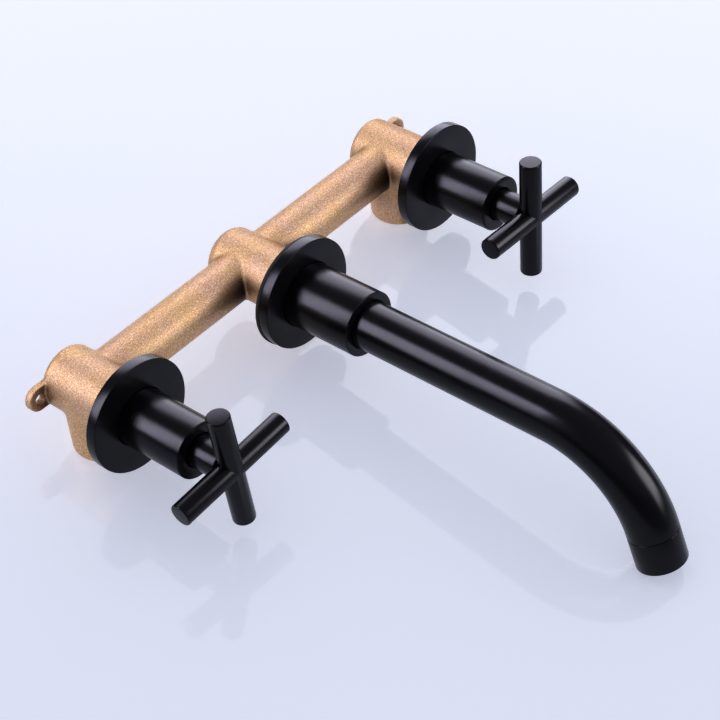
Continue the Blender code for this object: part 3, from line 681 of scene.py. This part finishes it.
# ---------------------------------------------------------------- cross handles
def set_angle(node, x):
    """How far a cross is turned about the Y axis from upright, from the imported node's own corners."""
    far = [v.co - Vector((x, 0, 0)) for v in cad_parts[node].data.vertices]
    reach = max(p.z for p in far)
    tops = [p for p in far if p.z > 0.93 * reach]
    middle = sum(tops, Vector()) / len(tops)
    return atan2(middle.x, middle.z)


def arm_outline(length):
    """Half outline of a rod with eased ends, along Y from -length to length."""
    return rounded([(0, -length, 0), (ARM_R, -length), (ARM_R, length), (0, length, 0)], ARM_EDGE_R, 5)


def make_handle(side, x):
    node = f"{side}_handle"
    front, back = span_y(node)
    angle = set_angle(node, x)
    cross_y = front + ARM_R
    reach = max(Vector((v.co.x - x, v.co.z)).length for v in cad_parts[node].data.vertices)
    length = (reach ** 2 - (ARM_R - 0.0005) ** 2) ** 0.5
    upright = turned_to(lathe("upright", arm_outline(length)), (0, 0, 1), (0, 0, 0))
    across = turned_to(lathe("across", arm_outline(length)), (1, 0, 0), (0, 0, 0))
    hub_back, hub_front = back - cross_y, HUB_FRONT_Y - cross_y
    hub = lathe("hub", rounded([(0, hub_front, 0), (HUB_R, hub_front, ARM_EDGE_R), (HUB_R, hub_back),
                                (0, hub_back, 0)], 0.0005, 5))
    mesh = combine(upright, [across, hub], "UNION")
    grub = centre_of(f"{side}_handle_grub_screw")
    socket = bar("socket", HUB_SOCKET_R, (0, hub_back + 0.001, 0), (0, HUB_SOCKET_END_Y - cross_y, 0))
    screw_y = grub.y - cross_y
    screw_hole = bar("hole", SCREW_HOLE_R, (0, screw_y, -0.003), (0, screw_y, -HUB_R - 0.001))
    mesh = combine(mesh, [socket, screw_hole], "DIFFERENCE")
    shade(mesh)
    rods = [satin_black(f"satin_black_{side}_{axis.lower()}", axis, (0, angle, 0), brushed=0.15)
            for axis in "ZX"]
    for face in mesh.polygons:
        centre = face.center
        if abs(centre.x) > max(ARM_R * 0.98, abs(centre.z)):
            face.material_index = 1
        elif centre.y > ARM_R * 0.7:
            face.material_index = 2
    mesh.transform(Matrix.Rotation(angle, 4, "Y"))
    obj = new_object(f"{side}_cross_handle", mesh, *rods, BLACK)
    obj.location = (x, cross_y, 0)
    place(obj, f"{side}_spindle", "black_finish", node)


# ---------------------------------------------------------------- spout
def spout_path(start_y, extra, straight_steps=12, bend_steps=40):
    """Points along the spout's middle line from start_y to extra past the end of its bend."""
    run = BEND_START_Y - start_y
    points = [Vector((0, start_y + run * i / straight_steps, 0)) for i in range(straight_steps)]
    for i in range(bend_steps + 1):
        turn = BEND_ANGLE * i / bend_steps
        points.append(Vector((0, BEND_START_Y - BEND_RADIUS * sin(turn), -BEND_RADIUS * (1 - cos(turn)))))
    points.append(points[-1] + extra * spout_direction())
    return points


def spout_direction():
    return Vector((0, -cos(BEND_ANGLE), -sin(BEND_ANGLE)))


def make_spout():
    start = span_y("spout_tube")[1]
    overcut = 0.002
    outside = tube_along("spout", spout_path(start, SPOUT_END), SPOUT_R)
    bore = tube_along("bore", spout_path(start + overcut, SPOUT_END + overcut), SPOUT_R - SPOUT_WALL)
    mesh = combine(outside, [bore], "DIFFERENCE")
    shade(mesh)
    obj = new_object("spout", mesh, BLACK_TUBE)
    place(obj, "rough_in", "black_finish", "spout_tube")


def make_aerator():
    end = spout_path(0.0, 0.0)[-1]
    ledge_start, ledge_end = 0.0100, 0.0120
    outline = rounded([
        (AERATOR_MOUTH_R, AERATOR_END), (SPOUT_R, AERATOR_END, 0.0005), (SPOUT_R, AERATOR_START),
        (AERATOR_SHANK_R, AERATOR_START, 0), (AERATOR_SHANK_R, AERATOR_SHANK_END, 0),
        (AERATOR_BORE_R, AERATOR_SHANK_END, 0), (AERATOR_BORE_R, ledge_start, 0),
        (AERATOR_LEDGE_R, ledge_start, 0), (AERATOR_LEDGE_R, ledge_end, 0),
        (AERATOR_MOUTH_R, ledge_end, 0)], 0.0003)
    turn = spout_direction().to_track_quat("Y", "Z")
    mesh = lathe("aerator_shell", outline)
    mesh.transform(turn.to_matrix().to_4x4())
    shade(mesh)
    obj = new_object("aerator_shell", mesh, satin_black("satin_black_outlet", "Y", turn.to_euler()))
    obj.location = end
    place(obj, "rough_in", "black_finish", "aerator_housing")


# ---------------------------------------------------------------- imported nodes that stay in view
def dress_nodes():
    """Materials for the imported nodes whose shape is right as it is."""
    by_word = {"o_ring": RUBBER, "seal": RUBBER, "washer": RUBBER, "grub_screw": STEEL, "clip": STEEL,
               "disc": CERAMIC, "insert": PLASTIC, "headwork": TURNED_BRASS, "stem": TURNED_BRASS,
               "nipple": TURNED_BRASS}
    for name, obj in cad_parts.items():
        if obj.hide_render:
            continue
        material = next(value for word, value in by_word.items() if word in name)
        obj.data.materials.clear()
        obj.data.materials.append(material)


# ---------------------------------------------------------------- stage, lights and camera
TABLE_R = 0.50
FLOOR_R = 4.0
FLOOR_SEGMENTS = 96
BACKDROP_R = 3.9
LOOK_AT = Vector((0.0, -0.06, 0.0))
FLOOR_SLOPE = 0.1122                            # rise along +Y: the faucet lies on its legs and its outlet
FOOT_EDGE = 0.0013                              # rounding at the legs' ends, which touch the floor

COOL = (0.97, 0.95, 1.08)
GLOSS = ("glossy",)
# Softboxes for each finish: elevation, (width, height) in degrees, radiance, then distance and soft edge.
BACK_RIGHT = {"black": (27, (56, 58), 5.5), "brass": (32, (58, 48), 1.52)}
BACK_LEFT = {"black": (30, (24, 46), 11.0), "brass": (30, (44, 56), 2.28)}
FRONT_RIGHT = {"black": (18, (44, 40), 9.0, 1.0, 0.3), "brass": (14, (44, 50), 2.9, 1.0, 0.15)}
OVERHEAD = (225, 85, (130, 130))                # azimuth, elevation, (width, height)
OVERHEAD_RADIANCE = {"black": 0.30, "brass": 0.76, "table": 0.31}

CAMERA_AT = (-0.48250, -0.51487, 0.57381)
CAMERA_RIGHT = (0.64838, -0.75698, -0.08116)    # the way the picture's right side faces
CAMERA_BACK = (-0.53319, -0.52760, 0.66132)     # the way from the faucet to the camera
CAMERA_LENS = 102.26                            # mm, on a 36 mm sensor


def make_floor():
    """A round pale sheet that touches the legs' back edges and the outlet's lowest point.

    Its outer part is only there for the camera: the real table is small, and the black finish reflects
    the dark room beyond it.
    """
    touch = Vector((0, LEG_Y + LEG_R - FOOT_EDGE, BODY_LOW.z))
    sheet = floor_sheet()
    parts = []
    for name, inner, outer in (("table", 0.0, TABLE_R), ("table_beyond", TABLE_R, FLOOR_R)):
        mesh = bpy.data.meshes.new(name)
        bm = bmesh.new()
        turns = [2 * pi * s / FLOOR_SEGMENTS for s in range(FLOOR_SEGMENTS)]
        rings = [[bm.verts.new((r * cos(turn), r * sin(turn), 0)) for turn in turns]
                 for r in (inner, outer) if r > 0]
        if inner > 0:
            for s in range(FLOOR_SEGMENTS):
                t = (s + 1) % FLOOR_SEGMENTS
                bm.faces.new((rings[0][s], rings[1][s], rings[1][t], rings[0][t]))
        else:
            bm.faces.new(rings[0])
        bm.to_mesh(mesh)
        bm.free()
        part = new_object(name, mesh, sheet)
        part.location = touch - Vector((0, touch.y, FLOOR_SLOPE * touch.y))
        part.rotation_euler.x = atan2(FLOOR_SLOPE, 1.0)
        part.visible_glossy = part.visible_diffuse = inner == 0
        parts.append(part)
    return parts


def soften(lamp, edge):
    """Fade a lamp towards its four edges, as a softbox's cloth does. The edge is a share of its width."""
    lamp.use_nodes = True
    tree = lamp.node_tree
    glow = tree.nodes["Emission"]
    point = tree.nodes.new("ShaderNodeNewGeometry")
    split = tree.nodes.new("ShaderNodeSeparateXYZ")
    tree.links.new(point.outputs["Parametric"], split.inputs[0])
    total = None
    for axis in "XY":
        for low, high in ((0.0, edge), (1.0, 1.0 - edge)):
            fade = tree.nodes.new("ShaderNodeMapRange")
            fade.interpolation_type = "SMOOTHSTEP"
            fade.inputs["From Min"].default_value = low
            fade.inputs["From Max"].default_value = high
            tree.links.new(split.outputs[axis], fade.inputs["Value"])
            if total is None:
                total = fade.outputs["Result"]
                continue
            product = tree.nodes.new("ShaderNodeMath")
            product.operation = "MULTIPLY"
            tree.links.new(total, product.inputs[0])
            tree.links.new(fade.outputs["Result"], product.inputs[1])
            total = product.outputs[0]
    tree.links.new(total, glow.inputs["Strength"])


def softbox(name, receivers, azimuth, elevation, spread, radiance, distance=4.0, edge=0.15,
            kinds=("diffuse", "glossy"), colour=(1, 1, 1)):
    """An area light that faces the faucet. Azimuth runs from +X towards +Y; spread is its width and height.

    kinds says whether it lights diffuse surfaces, glossy ones or both. It lights nothing but its receivers.
    """
    lamp = bpy.data.lights.new(name, "AREA")
    lamp.shape = "RECTANGLE"
    lamp.size, lamp.size_y = (2 * distance * tan(radians(angle) / 2) for angle in spread)
    lamp.energy = radiance * lamp.size * lamp.size_y * pi
    lamp.color = colour
    soften(lamp, edge)
    obj = bpy.data.objects.new(name, lamp)
    bpy.context.scene.collection.objects.link(obj)
    a, e = radians(azimuth), radians(elevation)
    direction = Vector((cos(a) * cos(e), sin(a) * cos(e), sin(e)))
    obj.location = LOOK_AT + direction * distance
    obj.rotation_euler = direction.to_track_quat("Z", "Y").to_euler()
    obj.visible_camera = False
    obj.visible_diffuse = "diffuse" in kinds
    obj.visible_glossy = "glossy" in kinds
    obj.light_linking.receiver_collection = receivers


def group(name, objects):
    collection = bpy.data.collections.new(name)
    for obj in objects:
        collection.objects.link(obj)
    return collection


def make_lights(table):
    """Two softboxes behind and one in front give the highlights; the table has even light of its own.

    The brass mirrors more light than the black finish, so these three are weaker for it and a little moved.
    """
    meshes = [obj for obj in bpy.data.objects if obj.type == "MESH"]
    brass = group("brass", [obj for obj in meshes if CAST_BRASS.name in obj.data.materials])
    black = group("black", [obj for obj in meshes if obj.name not in brass.objects and obj not in table])
    table = group("table_parts", table)
    for pieces in (black, brass):
        finish = pieces.name
        softbox(f"back_right_{finish}", pieces, 43, *BACK_RIGHT[finish], edge=0.22, kinds=GLOSS, colour=COOL)
        softbox(f"back_left_{finish}", pieces, 141, *BACK_LEFT[finish], edge=0.2, kinds=GLOSS, colour=COOL)
        softbox(f"front_right_{finish}", pieces, -57, *FRONT_RIGHT[finish])
        softbox(f"overhead_{finish}", pieces, *OVERHEAD, OVERHEAD_RADIANCE[finish], distance=1.6, edge=0.02,
                colour=COOL)
    softbox("back_table", table, 45, 45, (120, 100), 0.85, edge=0.1, kinds=GLOSS)
    softbox("low_back_table", table, 45, 22, (130, 70), 1.9, edge=0.25, kinds=GLOSS)
    softbox("right_table", table, -34, 32, (33, 33), 4.5, distance=0.68, edge=0.5, kinds=GLOSS)
    softbox("table_light", table, *OVERHEAD, OVERHEAD_RADIANCE["table"], distance=1.6, edge=0.02,
            kinds=("diffuse",))


def make_world():
    """Dim, even surroundings for the reflections."""
    world = bpy.data.worlds.new("studio")
    bpy.context.scene.world = world
    world.use_nodes = True
    surroundings = world.node_tree.nodes["Background"]
    surroundings.inputs["Color"].default_value = rgb(0.78, 0.84, 1.0)
    surroundings.inputs["Strength"].default_value = 0.16


def make_backdrop():
    """A pale wall beyond the floor, which lights nothing and shows in no reflection."""
    inner, outer, low, high = BACKDROP_R, BACKDROP_R + 0.05, -2.0, 4.0
    mesh = lathe("backdrop", [(inner, low), (outer, low), (outer, high), (inner, high)], FLOOR_SEGMENTS)
    mesh.transform(Matrix.Rotation(pi / 2, 4, "X"))
    m = Nodes("backdrop")
    wall = m.add("ShaderNodeEmission", {"Color": rgb(0.78, 0.81, 0.90), "Strength": 0.95})
    m.tree.links.new(wall.outputs[0], m.tree.nodes["Material Output"].inputs["Surface"])
    backdrop = new_object("backdrop", mesh, m.mat)
    for kind in ("diffuse", "glossy", "transmission", "volume_scatter", "shadow"):
        setattr(backdrop, f"visible_{kind}", False)


def make_camera():
    """The viewing angle: left of the faucet, in front of it and above."""
    data = bpy.data.cameras.new("camera")
    camera = bpy.data.objects.new("camera", data)
    bpy.context.scene.collection.objects.link(camera)
    right, back = Vector(CAMERA_RIGHT).normalized(), Vector(CAMERA_BACK).normalized()
    up = back.cross(right)
    turn = Matrix((right, up, back)).transposed().to_4x4()
    camera.matrix_world = Matrix.Translation(CAMERA_AT) @ turn
    data.lens = CAMERA_LENS
    data.sensor_width = 36.0
    data.clip_start, data.clip_end = 0.01, 20.0
    bpy.context.scene.camera = camera


# ---------------------------------------------------------------- everything
make_camera()
make_body()
for side, x in SIDES.items():
    make_plate(f"{side}_escutcheon", x)
    make_sleeve(side, x)
    make_handle(side, x)
make_plate("spout_escutcheon", 0.0)
make_spout_sleeve()
make_gasket()
make_spout()
make_aerator()
dress_nodes()
table = make_floor()
make_lights(table)
make_backdrop()
make_world()
bpy.context.scene.view_settings.view_transform = "Standard"
bpy.context.scene.view_settings.gamma = 0.82
